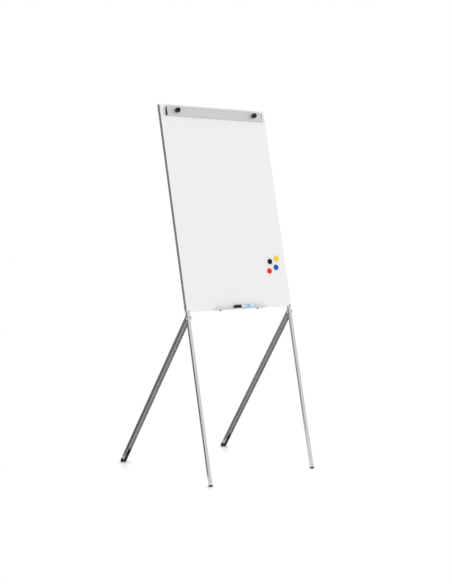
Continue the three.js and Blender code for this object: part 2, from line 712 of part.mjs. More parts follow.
// Outline of the star grip, lobed by a cosine.
function starShape() {
  const points = [];
  const steps = KNOB_LOBES * KNOB_LOBE_STEPS;
  const mean = KNOB_RADIUS - KNOB_BEVEL - KNOB_LOBE_DEPTH;
  for (let i = 0; i < steps; i += 1) {
    const turn = (i / steps) * 2 * Math.PI;
    const radius = mean + KNOB_LOBE_DEPTH * Math.cos(KNOB_LOBES * turn);
    points.push(new THREE.Vector2(radius * Math.sin(turn), radius * Math.cos(turn)));
  }
  return new THREE.Shape(points);
}

function knob({ name, sign }) {
  const face = -CLAMP_DEPTH - GAP;
  const grip = new THREE.ExtrudeGeometry(starShape(), {
    depth: KNOB_GRIP_HEIGHT - 2 * KNOB_BEVEL,
    bevelThickness: KNOB_BEVEL,
    bevelSize: KNOB_BEVEL,
    bevelSegments: 2,
  });
  grip.rotateX(Math.PI / 2).translate(0, face - KNOB_HUB_HEIGHT - KNOB_BEVEL, 0);
  const hubLength = KNOB_HUB_HEIGHT + OVERLAP;
  const hub = rodAlongY(KNOB_HUB_RADIUS, hubLength, 0, face - hubLength / 2, 0);
  const boreLength = INSERT_LENGTH + 2 * GAP + OVERLAP;
  const bore = rodAlongY(INSERT_RADIUS + GAP, boreLength, 0, face + OVERLAP - boreLength / 2, 0);
  const geometry = cut(join(hub, grip), bore).translate(sign * STUD_SPACING / 2, 0, STUD_HEIGHT);
  return piece(`knob_${name}`, geometry, FINISH.blackPlastic);
}

// The threaded bush moulded into the knob.
function knobInsert({ name, sign }) {
  const bore = STUD_RADIUS + GAP;
  const ring = [
    [bore, 0], [INSERT_RADIUS, 0], [INSERT_RADIUS, INSERT_LENGTH], [bore, INSERT_LENGTH], [bore, 0],
  ];
  const geometry = new THREE.LatheGeometry(ring.map(([r, y]) => new THREE.Vector2(r, y)), ROUND)
    .rotateX(Math.PI)
    .translate(sign * STUD_SPACING / 2, -CLAMP_DEPTH - 2 * GAP, STUD_HEIGHT);
  return piece(`knob_insert_${name}`, geometry, FINISH.brass);
}

// ---------------------------------------------------------------- the pen tray

// A strip with its front edge bent up to a low lip, fixed under the bottom rail.
function penTray() {
  const top = TRAY_SEAT - GAP;
  const under = top - TRAY_THICKNESS;
  const front = -TRAY_REACH;
  const bendDepth = front + TRAY_BEND;
  const bendHeight = under + TRAY_BEND;
  const shape = new THREE.Shape();
  shape.moveTo(TRAY_TONGUE, top);
  shape.absarc(bendDepth, bendHeight, TRAY_BEND - TRAY_THICKNESS, 1.5 * Math.PI, Math.PI, true);
  shape.lineTo(front + TRAY_THICKNESS, TRAY_LIP);
  shape.lineTo(front, TRAY_LIP);
  shape.absarc(bendDepth, bendHeight, TRAY_BEND, Math.PI, 1.5 * Math.PI);
  shape.lineTo(TRAY_TONGUE, under);
  const strip = extrudeAcross(shape, TRAY_LENGTH).translate(TRAY_OFFSET, 0, 0);
  const holes = TRAY_SCREW_XS.map((x) => rodAlongZ(
    TRAY_SCREW_RADIUS + GAP, 2 * (TRAY_THICKNESS + OVERLAP), x, TRAY_SCREW_DEPTH, under));
  return piece('pen_tray', cut(strip, ...holes).translate(0, 0, BOARD_BOTTOM), FINISH.anodised);
}

function trayScrew({ name, sign }) {
  const shank = TRAY_THICKNESS + RAIL_WALL + TRAY_SCREW_TIP;
  const profile = [
    [0, 0], [TRAY_SCREW_HEAD, 0], [TRAY_SCREW_HEAD, TRAY_SCREW_HEAD_HEIGHT],
    [TRAY_SCREW_RADIUS, TRAY_SCREW_HEAD_HEIGHT],
    [TRAY_SCREW_RADIUS, TRAY_SCREW_HEAD_HEIGHT + shank], [0, TRAY_SCREW_HEAD_HEIGHT + shank],
  ];
  const seat = BOTTOM_RAIL_EDGE - 2 * GAP - TRAY_THICKNESS;
  const geometry = new THREE.LatheGeometry(profile.map(([r, y]) => new THREE.Vector2(r, y)), ROUND)
    .rotateX(Math.PI / 2)
    .translate(
      TRAY_OFFSET + sign * TRAY_SCREW_SPACING / 2, TRAY_SCREW_DEPTH, seat - TRAY_SCREW_HEAD_HEIGHT);
  return piece(`tray_screw_${name}`, geometry, FINISH.blackScrew);
}

// -------------------------------------------------------------- the board marker

// Lays a marker piece, turned about X, in the tray.
function inTray(geometry) {
  return geometry.translate(0, MARKER_AXIS_DEPTH, MARKER_AXIS_HEIGHT);
}

// The barrel: a tube open at the tail, with a stepped neck and nib holder in the cap.
function markerBarrel() {
  const start = MARKER_BARREL_START;
  const neck = start - MARKER_NECK_LENGTH;
  const holder = neck - MARKER_HOLDER_LENGTH;
  const bore = NIB_RADIUS + GAP;
  const geometry = turned([
    [holder + NIB_LENGTH, 0],
    [holder + NIB_LENGTH, bore],
    [holder, bore],
    [holder, MARKER_HOLDER_RADIUS],
    [neck, MARKER_HOLDER_RADIUS],
    [neck, MARKER_NECK_RADIUS],
    [start, MARKER_NECK_RADIUS],
    [start, MARKER_RADIUS],
    [MARKER_BARREL_END, MARKER_RADIUS],
    [MARKER_BARREL_END, MARKER_NECK_RADIUS],
    [start + MARKER_END_WALL, MARKER_NECK_RADIUS],
    [start + MARKER_END_WALL, 0],
  ]);
  return piece('marker_barrel', inTray(geometry), FINISH.markerBody);
}

function markerNib() {
  const holder = MARKER_BARREL_START - MARKER_NECK_LENGTH - MARKER_HOLDER_LENGTH;
  const geometry = turned([
    [holder - NIB_TIP, 0],
    [holder - NIB_TIP + NIB_BEVEL, NIB_RADIUS],
    [holder + NIB_LENGTH - GAP, NIB_RADIUS],
    [holder + NIB_LENGTH - GAP, 0],
  ]);
  return piece('marker_nib', inTray(geometry), FINISH.felt);
}

function markerPlug() {
  const seat = MARKER_BARREL_END + GAP;
  const stub = MARKER_NECK_RADIUS - GAP;
  const geometry = turned([
    [seat - MARKER_PLUG_STUB, 0],
    [seat - MARKER_PLUG_STUB, stub],
    [seat, stub],
    [seat, MARKER_RADIUS],
    [MARKER_END - MARKER_PLUG_BEVEL, MARKER_RADIUS],
    [MARKER_END, MARKER_RADIUS - MARKER_PLUG_BEVEL],
    [MARKER_END, 0],
  ]);
  return piece('marker_plug', inTray(geometry), FINISH.markerPlug);
}

function markerCap() {
  const mouth = MARKER_CAP_START + MARKER_CAP_LENGTH;
  const bore = MARKER_NECK_RADIUS + GAP;
  const geometry = turned([
    [MARKER_CAP_START, 0],
    [MARKER_CAP_START, MARKER_CAP_RADIUS - MARKER_CAP_BEVEL],
    [MARKER_CAP_START + MARKER_CAP_BEVEL, MARKER_CAP_RADIUS],
    [mouth, MARKER_CAP_RADIUS],
    [mouth, bore],
    [MARKER_CAP_START + MARKER_END_WALL, bore],
    [MARKER_CAP_START + MARKER_END_WALL, 0],
  ]);
  return piece('marker_cap', inTray(geometry), FINISH.blackPlastic);
}

// ----------------------------------------------------------------- the magnets

// A body of revolution about Y that stands on the board's face, from [radius, height] points.
function onBoard(points, { x, height }) {
  const geometry = new THREE.LatheGeometry(points.map(([r, y]) => new THREE.Vector2(r, y)), 2 * ROUND);
  return geometry.rotateX(Math.PI).translate(x, -GAP, BOARD_BOTTOM + height);
}

function magnetShell(magnet) {
  const recess = MAGNET_CORE_RADIUS + GAP;
  const depth = MAGNET_CORE_HEIGHT + 2 * GAP;
  const geometry = onBoard([
    [0, depth],
    [recess, depth],
    [recess, 0],
    [MAGNET_RADIUS, 0],
    [MAGNET_RADIUS, MAGNET_HEIGHT - MAGNET_EDGE],
    [MAGNET_RADIUS - MAGNET_EDGE, MAGNET_HEIGHT],
    [0, MAGNET_HEIGHT],
  ], magnet);
  return piece(`magnet_${magnet.name}`, geometry, finish(magnet.colour, 0.35, 0));
}

function magnetCore(magnet) {
  const geometry = onBoard([
    [0, GAP],
    [MAGNET_CORE_RADIUS, GAP],
    [MAGNET_CORE_RADIUS, GAP + MAGNET_CORE_HEIGHT],
    [0, GAP + MAGNET_CORE_HEIGHT],
  ], magnet);
  return piece(`magnet_${magnet.name}_core`, geometry, FINISH.ferrite);
}

// -------------------------------------------------------------------- assembly

const leaning = new THREE.Group();
leaning.rotation.x = -LEAN;
leaning.add(
  faceSheet(),
  infill('panel_core', RAIL_FRONT, CORE_THICKNESS, FINISH.cardCore),
  infill('back_sheet', BACK_FRONT, BACK_THICKNESS, FINISH.greyBack),
  topRail(),
  bottomRail(),
  clampBar(),
  penTray(),
  markerBarrel(),
  markerNib(),
  markerPlug(),
  markerCap(),
);
for (const side of SIDES) {
  leaning.add(
    sideRail(side),
    joiner('top', side),
    joiner('bottom', side),
    topCap(side),
    legCollar(side),
    frontLeg(side),
    frontFoot(side),
    ...legScrews(side),
    hingeBolt(side),
    hingeNut(side),
    hingeSpacer(side, 'outer'),
    hingeSpacer(side, 'inner'),
    clampEndCap(side),
    clampStud(side),
    knob(side),
    knobInsert(side),
    trayScrew(side),
    rearLegAssembly(side),
  );
}
for (const magnet of MAGNETS) {
  leaning.add(magnetShell(magnet), magnetCore(magnet));
}

// The origin goes to the middle of the whole easel's box, on the floor.
const easel = new THREE.Group();
easel.add(leaning);
const box = new THREE.Box3().setFromObject(easel, true);
const middle = box.getCenter(new THREE.Vector3());
easel.position.set(-middle.x, -middle.y, -box.min.z);

export default easel;
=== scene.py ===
"""Flipchart easel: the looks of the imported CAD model, with its camera, light and floor.

Metres, in the CAD frame: X runs to the right seen from the front, Y backwards, Z up.
"""

import json
import math

import bmesh
import bpy
from mathutils import Euler, Matrix, Vector


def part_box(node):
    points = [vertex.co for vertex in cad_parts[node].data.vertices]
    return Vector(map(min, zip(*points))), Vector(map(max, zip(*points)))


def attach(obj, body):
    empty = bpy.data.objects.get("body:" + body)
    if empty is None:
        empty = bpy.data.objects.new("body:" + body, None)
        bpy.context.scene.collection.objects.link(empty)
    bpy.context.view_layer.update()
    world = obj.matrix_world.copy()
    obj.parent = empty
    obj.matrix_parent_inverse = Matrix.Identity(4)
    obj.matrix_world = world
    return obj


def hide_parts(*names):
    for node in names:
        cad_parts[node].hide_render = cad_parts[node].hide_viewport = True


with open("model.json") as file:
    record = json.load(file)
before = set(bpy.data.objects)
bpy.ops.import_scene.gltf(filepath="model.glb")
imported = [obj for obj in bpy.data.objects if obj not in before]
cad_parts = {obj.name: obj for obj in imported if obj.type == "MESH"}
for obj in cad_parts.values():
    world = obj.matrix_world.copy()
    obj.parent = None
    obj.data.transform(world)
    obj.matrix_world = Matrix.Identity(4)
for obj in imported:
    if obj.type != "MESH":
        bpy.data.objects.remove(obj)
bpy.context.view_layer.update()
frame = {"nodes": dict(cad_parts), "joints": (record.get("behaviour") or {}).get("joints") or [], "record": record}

NODES = frame["nodes"]
RECORD = frame["record"]
MM = 0.001
TURN = 2 * math.pi
GAP = 0.3 * MM  # running gap between a shaft or core and what holds it
M6 = 3 * MM  # radius of the studs and hinge bolts
M4 = 2 * MM  # radius of the screws
M4_PITCH = 0.7 * MM
M4_THREAD_DEPTH = 0.3 * MM

# ------------------------------------------------------------------ the frame

SIDES = {"left": -1, "right": 1}
ACROSS, DEPTH, UP = 0, 1, 2  # the board's own axes


def joint(name):
    """The record's joint of this name."""
    return next(j for j in frame["joints"] if j["name"] == name)


BODY_OF = {
    node: body for body, nodes in RECORD["behaviour"]["bodies"].items() for node in nodes
}
FACE_NORMAL = Vector(joint("clamp_open")["axis"]).normalized()
LEAN = math.asin(FACE_NORMAL.z)
HINGE = Vector(joint("rear_leg_left_fold")["pos_m"])
SOLE = Vector(next(m for m in RECORD["mounts"] if m["name"] == "sole_rear_left")["pos_m"])
REAR_LEAN = math.atan2(SOLE.y - HINGE.y, HINGE.z)

# The board's own axes: X across it, Y into it and Z up its slope.
BOARD = Euler((-LEAN, 0, 0)).to_matrix()


def board_box(node):
    """A CAD node's lowest and highest corners along the board's own axes."""
    points = [BOARD.transposed() @ vertex.co for vertex in NODES[node].data.vertices]
    low = Vector([min(point[i] for point in points) for i in range(3)])
    high = Vector([max(point[i] for point in points) for i in range(3)])
    return low, high


def end_frame(node, axis, sign):
    """A matrix at one end of a CAD node, whose Z runs from there into the node.

    axis is ACROSS, DEPTH or UP, and sign says which end."""
    low, high = board_box(node)
    point = (low + high) / 2
    point[axis] = high[axis] if sign > 0 else low[axis]
    direction = BOARD.col[axis] * -sign
    turn = direction.to_track_quat("Z", "Y").to_matrix().to_4x4()
    return Matrix.Translation(BOARD @ point) @ turn


def board_size(node):
    """A CAD node's size along the board's own axes."""
    low, high = board_box(node)
    return high - low


# ------------------------------------------------------------- material helpers


def srgb(red, green, blue):
    """A colour given as 0 to 255 screen values, as linear light."""

    def linear(value):
        value = value / 255
        return value / 12.92 if value <= 0.04045 else ((value + 0.055) / 1.055) ** 2.4

    return (linear(red), linear(green), linear(blue), 1.0)


def grey(value):
    """A grey given as a 0 to 255 screen value."""
    return srgb(value, value, value)


def shade(colour, factor):
    """A colour made lighter or darker."""
    return (*(min(1.0, channel * factor) for channel in colour[:3]), 1.0)


class Shader:
    """A Principled material with a short way to add and link nodes."""

    def __init__(self, name):
        self.material = bpy.data.materials.new(name)
        self.material.use_nodes = True
        self.tree = self.material.node_tree
        self.principled = self.tree.nodes["Principled BSDF"]

    def node(self, kind, **values):
        node = self.tree.nodes.new(kind)
        for key, value in values.items():
            setattr(node, key, value)
        return node

    def link(self, source, target):
        self.tree.links.new(source, target)

    def set(self, **values):
        for key, value in values.items():
            self.principled.inputs[key.replace("_", " ")].default_value = value

    def position(self, stretch=(1, 1, 1), turn=(0, 0, 0)):
        """The point on the object, turned to a direction and scaled along its axes."""
        coordinates = self.node("ShaderNodeTexCoord")
        rotate = self.node("ShaderNodeMapping", vector_type="POINT")
        rotate.inputs["Rotation"].default_value = turn
        scale = self.node("ShaderNodeMapping", vector_type="POINT")
        scale.inputs["Scale"].default_value = stretch
        self.link(coordinates.outputs["Object"], rotate.inputs["Vector"])
        self.link(rotate.outputs["Vector"], scale.inputs["Vector"])
        return scale.outputs["Vector"]

    def noise(self, vector, scale, detail=4.0, roughness=0.55):
        noise = self.node("ShaderNodeTexNoise")
        noise.inputs["Scale"].default_value = scale
        noise.inputs["Detail"].default_value = detail
        noise.inputs["Roughness"].default_value = roughness
        self.link(vector, noise.inputs["Vector"])
        return noise.outputs["Fac"]

    def spread(self, value, low, high, span=(0.3, 0.7)):
        """Maps a texture's value onto the range low to high."""
        mapping = self.node("ShaderNodeMapRange", clamp=True)
        mapping.inputs["From Min"].default_value = span[0]
        mapping.inputs["From Max"].default_value = span[1]
        mapping.inputs["To Min"].default_value = low
        mapping.inputs["To Max"].default_value = high
        self.link(value, mapping.inputs["Value"])
        return mapping.outputs["Result"]

    def blend_colours(self, factor, first, second):
        mix = self.node("ShaderNodeMix", data_type="RGBA")
        self.link(factor, mix.inputs["Factor"])
        for socket, colour in (("A", first), ("B", second)):
            target = next(i for i in mix.inputs if i.name == socket and i.type == "RGBA")
            if isinstance(colour, bpy.types.NodeSocket):
                self.link(colour, target)
            else:
                target.default_value = colour
        return next(o for o in mix.outputs if o.type == "RGBA")

    def colour(self, output):
        self.link(output, self.principled.inputs["Base Color"])

    def roughness(self, output):
        self.link(output, self.principled.inputs["Roughness"])

    def bump(self, height, strength, distance):
        bump = self.node("ShaderNodeBump")
        bump.inputs["Strength"].default_value = strength
        bump.inputs["Distance"].default_value = distance
        self.link(height, bump.inputs["Height"])
        self.link(bump.outputs["Normal"], self.principled.inputs["Normal"])


# -------------------------------------------------------------------- materials


def enamel():
    """White magnetic enamel: glossy, with faint haze where it has been wiped."""
    s = Shader("white_enamel")
    s.set(IOR=1.5, Coat_Weight=0.15, Coat_Roughness=0.08)
    haze = s.noise(s.position(stretch=(1.0, 1.0, 2.5)), 3.0, detail=5.0)
    s.colour(s.blend_colours(s.spread(haze, 0, 1), grey(237), grey(236)))
    s.roughness(s.spread(haze, 0.26, 0.34))
    s.bump(s.noise(s.position(), 260.0, detail=2.0), 0.04, 0.2 * MM)
    return s.material


def anodised(name, turn, stretch, colour, roughness=(0.24, 0.34), contrast=0.06):
    """Extruded aluminium with fine draw lines along one direction.

    contrast is how much lighter and darker than the colour the lines are."""
    s = Shader(name)
    s.set(Metallic=0.95)
    lines = s.noise(s.position(stretch=stretch, turn=turn), 1.0, detail=6.0, roughness=0.7)
    cloud = s.noise(s.position(), 9.0)
    light, dark = shade(colour, 1 + contrast), shade(colour, 1 - contrast)
    tone = s.blend_colours(s.spread(lines, 0, 1), dark, light)
    s.colour(s.blend_colours(s.spread(cloud, 0, 0.3), tone, dark))
    s.roughness(s.spread(lines, *roughness))
    s.bump(lines, 2 * contrast, 0.06 * MM)
    return s.material


def silver_paint(name, turn, colour):
    """Silver powder coat: a fine grain with metallic flecks, a little worn."""
    s = Shader(name)
    s.set(Metallic=0.98)
    grain = s.noise(s.position(), 1400.0, detail=2.0)
    streak = s.noise(s.position(stretch=(90, 90, 2.2), turn=turn), 1.0, detail=5.0)
    tone = s.blend_colours(s.spread(grain, 0, 1), shade(colour, 0.9), shade(colour, 1.1))
    s.colour(s.blend_colours(s.spread(streak, 0, 0.3), tone, shade(colour, 0.88)))
    s.roughness(s.spread(streak, 0.2, 0.28))
    s.bump(grain, 0.12, 0.05 * MM)
    return s.material


def plastic(name, colour, roughness=(0.35, 0.5), grain_scale=900.0, grain=0.12, gloss=0.5):
    """Moulded plastic: a fine spark-eroded grain and slightly uneven gloss."""
    s = Shader(name)
    s.set(Specular_IOR_Level=gloss)
    pits = s.noise(s.position(), grain_scale, detail=3.0)
    patch = s.noise(s.position(), 40.0)
    s.colour(s.blend_colours(s.spread(patch, 0, 1), shade(colour, 0.92), shade(colour, 1.08)))
    s.roughness(s.spread(patch, *roughness))
    s.bump(pits, grain, 0.05 * MM)
    return s.material


def rubber(name, colour):
    """Black rubber: matt, with a dusty bloom and a pitted surface."""
    s = Shader(name)
    s.set(IOR=1.45)
    pits = s.noise(s.position(), 700.0, detail=4.0)
    dust = s.noise(s.position(), 55.0, detail=5.0)
    s.colour(s.blend_colours(s.spread(dust, 0, 1, (0.45, 0.75)), colour, shade(colour, 2.2)))
    s.roughness(s.spread(dust, 0.6, 0.85))
    s.bump(pits, 0.3, 0.12 * MM)
    return s.material


def plated(name, colour, roughness=(0.14, 0.3)):
    """Bright plated steel with fine handling marks."""
    s = Shader(name)
    s.set(Metallic=1.0)
    marks = s.noise(s.position(stretch=(1, 1, 3)), 260.0, detail=5.0)
    s.colour(s.blend_colours(s.spread(marks, 0, 1), shade(colour, 0.85), colour))
    s.roughness(s.spread(marks, *roughness))
    s.bump(marks, 0.06, 0.04 * MM)
    return s.material


def pressed_board():
    """Chipboard core: coarse pale and brown flakes."""
    s = Shader("chipboard")
    flakes = s.node("ShaderNodeTexVoronoi")
    flakes.inputs["Scale"].default_value = 350.0
    s.link(s.position(stretch=(1, 1, 0.5)), flakes.inputs["Vector"])
    s.colour(s.blend_colours(flakes.outputs["Distance"], srgb(196, 172, 132), srgb(140, 112, 78)))
    s.set(Roughness=0.9)
    s.bump(flakes.outputs["Distance"], 0.4, 0.3 * MM)
    return s.material


def felt():
    """Ink-soaked felt."""
    s = Shader("felt")
    fibres = s.noise(s.position(stretch=(0.2, 1, 1)), 2500.0, detail=4.0)
    s.colour(s.blend_colours(s.spread(fibres, 0, 1), srgb(14, 14, 16), srgb(44, 44, 48)))
    s.set(Roughness=0.95, Sheen_Weight=0.3)
    s.bump(fibres, 0.6, 0.1 * MM)
    return s.material


def marker_body():
    """The barrel's pale sleeve, with plain blue bands and no lettering."""
    s = Shader("marker_body")
    low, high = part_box("marker_barrel")
    here = s.node("ShaderNodeSeparateXYZ")
    s.link(s.position(), here.inputs["Vector"])
    along = s.spread(here.outputs["X"], 0, 1, (low.x, high.x))
    ramp = s.node("ShaderNodeValToRGB")
    ramp.color_ramp.interpolation = "CONSTANT"
    white, pale, blue = srgb(230, 238, 244), srgb(196, 222, 238), srgb(136, 196, 232)
    # Where each band starts, as a share of the barrel's length, and its colour.
    bands = [(0.0, white), (0.30, pale), (0.36, white), (0.42, blue), (0.46, pale), (0.54, blue)]
    bands += [(0.70, pale), (0.76, white), (0.86, blue), (0.90, white)]
    for i, (place, colour) in enumerate(bands):
        stop = ramp.color_ramp.elements[i] if i < 2 else ramp.color_ramp.elements.new(place)
        stop.position = place
        stop.color = colour
    s.link(along, ramp.inputs["Fac"])
    wear = s.noise(s.position(), 120.0)
    s.colour(s.blend_colours(s.spread(wear, 0, 0.12), ramp.outputs["Color"], srgb(205, 210, 215)))
    s.roughness(s.spread(wear, 0.28, 0.4))
    s.bump(s.noise(s.position(), 900.0), 0.05, 0.05 * MM)
    return s.material


MAGNETS = {
    "black": srgb(18, 18, 22),
    "yellow": srgb(250, 206, 0),
    "blue": srgb(4, 90, 176),
    "red": srgb(234, 40, 38),
}


def magnet_plastic(colour):
    """The smooth plastic of a magnet's shell."""
    name = f"magnet_{colour}"
    return plastic(name, MAGNETS[colour], (0.12, 0.22), grain_scale=300.0, grain=0.02, gloss=0.15)


def make_materials():
    """A material for each of the record's slots, and for the ways that extrusions run."""
    along_board = (LEAN, 0, 0)
    along_rear = (-REAR_LEAN, 0, 0)
    lines_across, lines_up = (4, 600, 600), (600, 600, 4)
    silver = grey(214)
    return {
        "white_enamel": enamel(),
        "chipboard": pressed_board(),
        "grey_back": plastic(
            "grey_back", srgb(178, 182, 184), (0.4, 0.55), grain_scale=500.0, grain=0.1),
        "rail": anodised("rail", along_board, lines_up, silver),
        "anodised": anodised("anodised", along_board, lines_across, silver),
        "clamp": anodised(
            "clamp", along_board, lines_across, grey(218), (0.6, 0.7), contrast=0.015),
        "front_leg": silver_paint("front_leg", along_board, grey(210)),
        "silver_paint": silver_paint("silver_paint", along_rear, grey(200)),
        "grey_plastic": plastic("grey_plastic", srgb(190, 193, 195)),
        "black_plastic": plastic("black_plastic", srgb(16, 16, 18), (0.3, 0.45), gloss=0.25),
        "black_rubber": rubber("black_rubber", srgb(18, 18, 20)),
        "black_screw": plated("black_screw", srgb(52, 54, 56), (0.3, 0.45)),
        "plated": plated("plated", srgb(214, 216, 218)),
        "nylon": plastic("nylon", srgb(226, 226, 220), (0.4, 0.5), grain_scale=500.0, grain=0.05),
        "brass": plated("brass", srgb(196, 166, 98), (0.2, 0.35)),
        "ferrite": rubber("ferrite", srgb(52, 52, 54)),
        **{f"magnet_{colour}": magnet_plastic(colour) for colour in MAGNETS},
        "marker_body": marker_body(),
        "marker_plug": plastic("marker_plug", srgb(150, 142, 144)),
        "felt": felt(),
    }


MATERIALS = make_materials()
SLOT_OF = {entry["node"]: entry["material_slot"] for entry in RECORD["subparts"]}
LOOK_OF_NODE = {
    "side_rail_left": "rail",
    "side_rail_right": "rail",
    "front_leg_left": "front_leg",
    "front_leg_right": "front_leg",
    "clamp_bar": "clamp",
}


def look(node):
    """The material that a CAD node shows."""
    return MATERIALS[LOOK_OF_NODE.get(node, SLOT_OF[node])]


# ----------------------------------------------------------------- mesh helpers


def new_object(name, data):
    """A new object in the scene."""
    made = bpy.data.objects.new(name, data)
    bpy.context.scene.collection.objects.link(made)
    return made


def add_piece(name, mesh, node):
    """A new piece that stands for a CAD node and rides on its body."""
    piece = new_object(name, mesh)
    piece.data.materials.clear()
    piece.data.materials.append(look(node))
    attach(piece, BODY_OF[node])
    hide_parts(node)
    return piece


def apply_modifiers(piece):
    """Turns what a piece's modifiers make into its own mesh."""
    bpy.context.view_layer.update()
    evaluated = piece.evaluated_get(bpy.context.evaluated_depsgraph_get())
    made = bpy.data.meshes.new_from_object(evaluated)
    piece.modifiers.clear()
    piece.data = made


def eased(node, width, segments=2, crease=35):
    """A CAD node's shape with its hard edges rounded over, as a new piece.

    crease is the least angle, in degrees, at which two faces have a hard edge."""
    mesh = NODES[node].data.copy()
    edit = bmesh.new()
    edit.from_mesh(mesh)
    bmesh.ops.remove_doubles(edit, verts=edit.verts, dist=0.005 * MM)
    bmesh.ops.dissolve_limit(edit, angle_limit=math.radians(1), verts=edit.verts, edges=edit.edges)
    edit.to_mesh(mesh)
    edit.free()
    if mesh.has_custom_normals:
        mesh.attributes.remove(mesh.attributes["custom_normal"])
    piece = add_piece(f"{node}_eased", mesh, node)
    bevel = piece.modifiers.new("ease", "BEVEL")
    bevel.width = width
    bevel.segments = segments
    bevel.limit_method = "ANGLE"
    bevel.angle_limit = math.radians(crease)
    bevel.use_clamp_overlap = True
    weigh = piece.modifiers.new("keep the faces flat", "WEIGHTED_NORMAL")
    weigh.weight = 100
    piece.data.shade_smooth()
    apply_modifiers(piece)
    return piece


# Outlines of a turned section: how far out it is at an angle, for a given radius.


def round_outline(radius, turn):
    """A plain circle."""
    return radius


def hexagon(radius, turn):
    """A hexagon with flats at the radius."""
    return radius / math.cos((turn % (TURN / 6)) - TURN / 12)


def cross(radius, turn):
    """A cross recess with arms that end at the radius."""
    arm = 0.2 * radius
    off_axis = abs((turn + TURN / 8) % (TURN / 4) - TURN / 8)
    if math.tan(off_axis) < arm / radius:
        return radius / math.cos(off_axis)
    return arm / math.sin(off_axis)


def flutes(count, depth):
    """A round section with shallow rounded grooves."""
    return lambda radius, turn: radius - depth * (1 - math.cos(count * turn)) / 2


def skin(edit, rings):
    """Joins each ring of vertices to the next. A ring of one vertex is a point."""
    for low, high in zip(rings, rings[1:]):
        count = max(len(low), len(high))
        for i in range(count):
            j = (i + 1) % count
            corners = [low[i % len(low)], low[j % len(low)], high[j % len(high)], high[i % len(high)]]
            unique = list(dict.fromkeys(corners))
            if len(unique) > 2:
                edit.faces.new(unique)


def turned(node, place, profile, sides=64, crease=40):
    """A turned piece for a CAD node.

    profile is [along, radius] or [along, radius, outline] from end to end along place's Z."""
    edit = bmesh.new()
    rings = []
    for along, radius, *shape in profile:
        outline = shape[0] if shape else round_outline
        if radius == 0:
            rings.append([edit.verts.new((0, 0, along))])
            continue
        ring = []
        for i in range(sides):
            turn = TURN * i / sides
            out = outline(radius, turn)
            ring.append(edit.verts.new((out * math.cos(turn), out * math.sin(turn), along)))
        rings.append(ring)
    skin(edit, rings)
    bmesh.ops.recalc_face_normals(edit, faces=edit.faces)
    mesh = bpy.data.meshes.new(node)
    edit.to_mesh(mesh)
    edit.free()
    mesh.transform(place)
    piece = add_piece(f"{node}_turned", mesh, node)
    piece.data.shade_smooth()
    piece.data.set_sharp_from_angle(angle=math.radians(crease))
    return piece


def corner(along, radius, ease, outward, steps=5):
    """Points that round the corner at [along, radius], from the end face to the side.

    outward is -1 where the end face is at the start, or 1 where it is at the end."""
    points = []
    for i in range(steps + 1):
        turn = (i / steps) * TURN / 4
        points.append((
            along - outward * ease * (1 - math.cos(turn)),
            radius - ease * (1 - math.sin(turn)),
        ))
    return points if outward < 0 else points[::-1]


def thread(start, end, radius, pitch=1.0 * MM, depth=0.5 * MM):
    """Points along a threaded shank, as rings a pitch apart."""
    points = []
    count = int((end - start) / pitch)
    flank = 0.35 * pitch
    for i in range(count):
        crest = start + (i + 0.5) * pitch
        points += [(crest - flank, radius - depth), (crest, radius)]
    return points + [(start + count * pitch, radius - depth)]


def with_outline(points, outline):
    """The same points of a profile, each with its outline."""
    return [(along, radius, outline) for along, radius in points]


# --------------------------------------------------------------- turned pieces


def make_magnet(colour):
    """A round magnet: a shallow domed face, a rounded rim, and a recess for its core."""
    node = f"magnet_{colour}"
    size = board_size(node)
    radius = size.x / 2
    height = size.y
    core = board_size(f"magnet_{colour}_core")
    recess = core.x / 2 + GAP
    recess_depth = core.y + 2 * GAP
    dome = 0.7 * MM
    rim = 2.2 * MM
    steps = 8
    shoulder = height - dome
    profile = [(recess_depth, 0), (recess_depth, recess), (0, recess)]
    profile += corner(0, radius, 0.8 * MM, -1)
    profile += corner(shoulder, radius, rim, 1, steps=9)
    for i in range(1, steps + 1):
        share = 1 - i / steps
        profile.append((shoulder + dome * (1 - share * share), (radius - rim) * share))
    turned(node, end_frame(node, DEPTH, 1), profile, sides=72, crease=60)


def make_knob(side):
    """A clamp knob: a round hub, a fluted grip with a soft rim, and a dished face."""
    node = f"knob_{side}"
    size = board_size(node)
    insert = board_size(f"knob_insert_{side}")
    bore = insert.x / 2 + GAP
    bore_depth = insert.y + 2 * GAP
    lobes = flutes(6, 1.7 * MM)
    dish = [(0, 8.0), (0.25, 7.5), (0.9, 6.6), (1.1, 4.4), (1.1, 0)]  # depths and radii in mm
    hub, grip_back = 9 * MM, 2 * MM
    tip = size.z / 2
    front = size.y
    profile = [(bore_depth, 0), (bore_depth, bore), (0, bore)]
    profile += corner(0, hub, 0.5 * MM, -1, steps=2)
    profile += [(grip_back - 0.5 * MM, hub)]
    profile += with_outline(corner(grip_back, tip, 1.6 * MM, -1), lobes)
    profile += with_outline(corner(front, tip, 3.2 * MM, 1, steps=8), lobes)
    profile += [(front - depth * MM, radius * MM) for depth, radius in dish]
    turned(node, end_frame(node, DEPTH, 1), profile, sides=96, crease=50)


def make_stud(side):
    """A stud with a low flat head behind the panel and a thread down its whole shank."""
    node = f"clamp_stud_{side}"
    size = board_size(node)
    head, head_height = size.x / 2, 2.5 * MM
    profile = [(0, 0)] + corner(0, head, 0.8 * MM, -1) + [(head_height, head), (head_height, M6)]
    profile += thread(head_height + 6 * MM, size.y - 0.6 * MM, M6)
    profile += [(size.y, M6 - 1.0 * MM), (size.y, 0)]
    turned(node, end_frame(node, DEPTH, 1), profile, sides=40)


